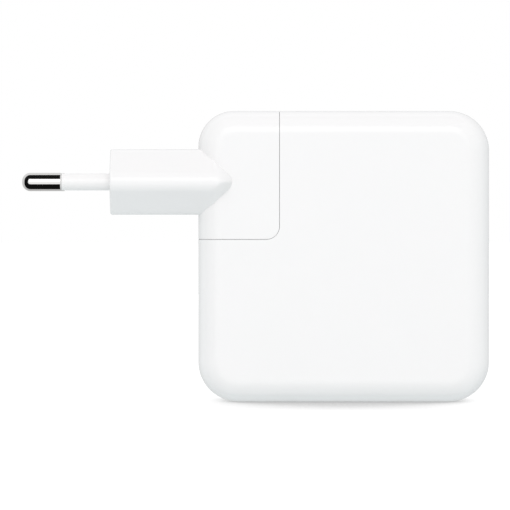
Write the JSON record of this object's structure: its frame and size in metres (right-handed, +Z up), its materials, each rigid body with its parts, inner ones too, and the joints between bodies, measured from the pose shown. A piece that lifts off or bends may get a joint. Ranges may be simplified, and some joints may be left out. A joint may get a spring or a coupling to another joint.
{
  "type": "laptop power adapter",
  "caption": "Square white laptop power adapter with a corner wall plug head that slides off, two round mains pins and a side output socket.",
  "frame": {"origin": "centre of the casing's flat bottom face", "axes": "+Z up, big front face towards -Y, wall pins point along -X, output socket on +X"},
  "size_m": [0.102, 0.0352, 0.0635],
  "materials": {
    "aluminium": "plain sheet",
    "blue_coating": "dipped epoxy",
    "board": "green glass-epoxy laminate",
    "brass": "plated brass",
    "can": "printed can",
    "copper": "copper alloy",
    "dark_plastic": "moulded black",
    "ferrite": "matt ferrite",
    "film": "thin insulating film",
    "gold": "gold-plated contact",
    "heat_pad": "soft grey-blue pad",
    "nickel": "bright nickel-plated brass",
    "pale_plastic": "matt off-white polycarbonate",
    "sleeve": "satin pale grey sleeve",
    "steel": "stainless steel",
    "white_plastic": "gloss white polycarbonate",
    "yellow_plastic": "moulded yellow"
  },
  "bodies": {
    "adapter": {"front_cover": "white_plastic", "rear_cover": "white_plastic", "inlet_block": "pale_plastic", "inlet_pin_front": "nickel", "inlet_pin_rear": "nickel", "inlet_lead_front": "copper", "inlet_lead_rear": "copper", "lock_stud": "steel", "stud_plate": "steel", "main_board": "board", "usb_board": "board", "header_block": "dark_plastic", "header_pins": "brass", "usb_support": "dark_plastic", "usb_shell": "steel", "usb_tongue": "dark_plastic", "usb_contacts": "gold", "fuse": "dark_plastic", "varistor": "blue_coating", "x_capacitor": "yellow_plastic", "y_capacitor": "blue_coating", "choke_core": "ferrite", "choke_windings": "copper", "bridge_rectifier": "dark_plastic", "bulk_capacitor_left": "can", "bulk_capacitor_right": "can", "output_capacitors": "can", "transformer_core_lower": "ferrite", "transformer_core_upper": "ferrite", "transformer_bobbin": "dark_plastic", "transformer_winding": "copper", "transformer_tape": "yellow_plastic", "power_stage": "dark_plastic", "sync_rectifier": "dark_plastic", "pd_controller": "dark_plastic", "optocoupler": "dark_plastic", "output_inductor": "ferrite", "front_spreader": "aluminium", "rear_spreader": "aluminium", "transformer_pad": "heat_pad", "chip_pads": "heat_pad", "front_film": "film", "rear_film": "film"},
    "plug_head": {"plug_shell": "white_plastic", "plug_inner_cover": "white_plastic", "slide_clip": "steel", "pin_carrier": "pale_plastic", "pin_front": "nickel", "pin_rear": "nickel", "pin_sleeve_front": "sleeve", "pin_sleeve_rear": "sleeve", "strap_front": "copper", "strap_rear": "copper", "socket_contact_front": "copper", "socket_contact_rear": "copper"}
  },
  "joints": [
    {"name": "plug_slide", "type": "slide", "parent": "adapter", "child": "plug_head", "axis": [0, 0, 1], "range_m": [0, 0.04]}
  ]
}
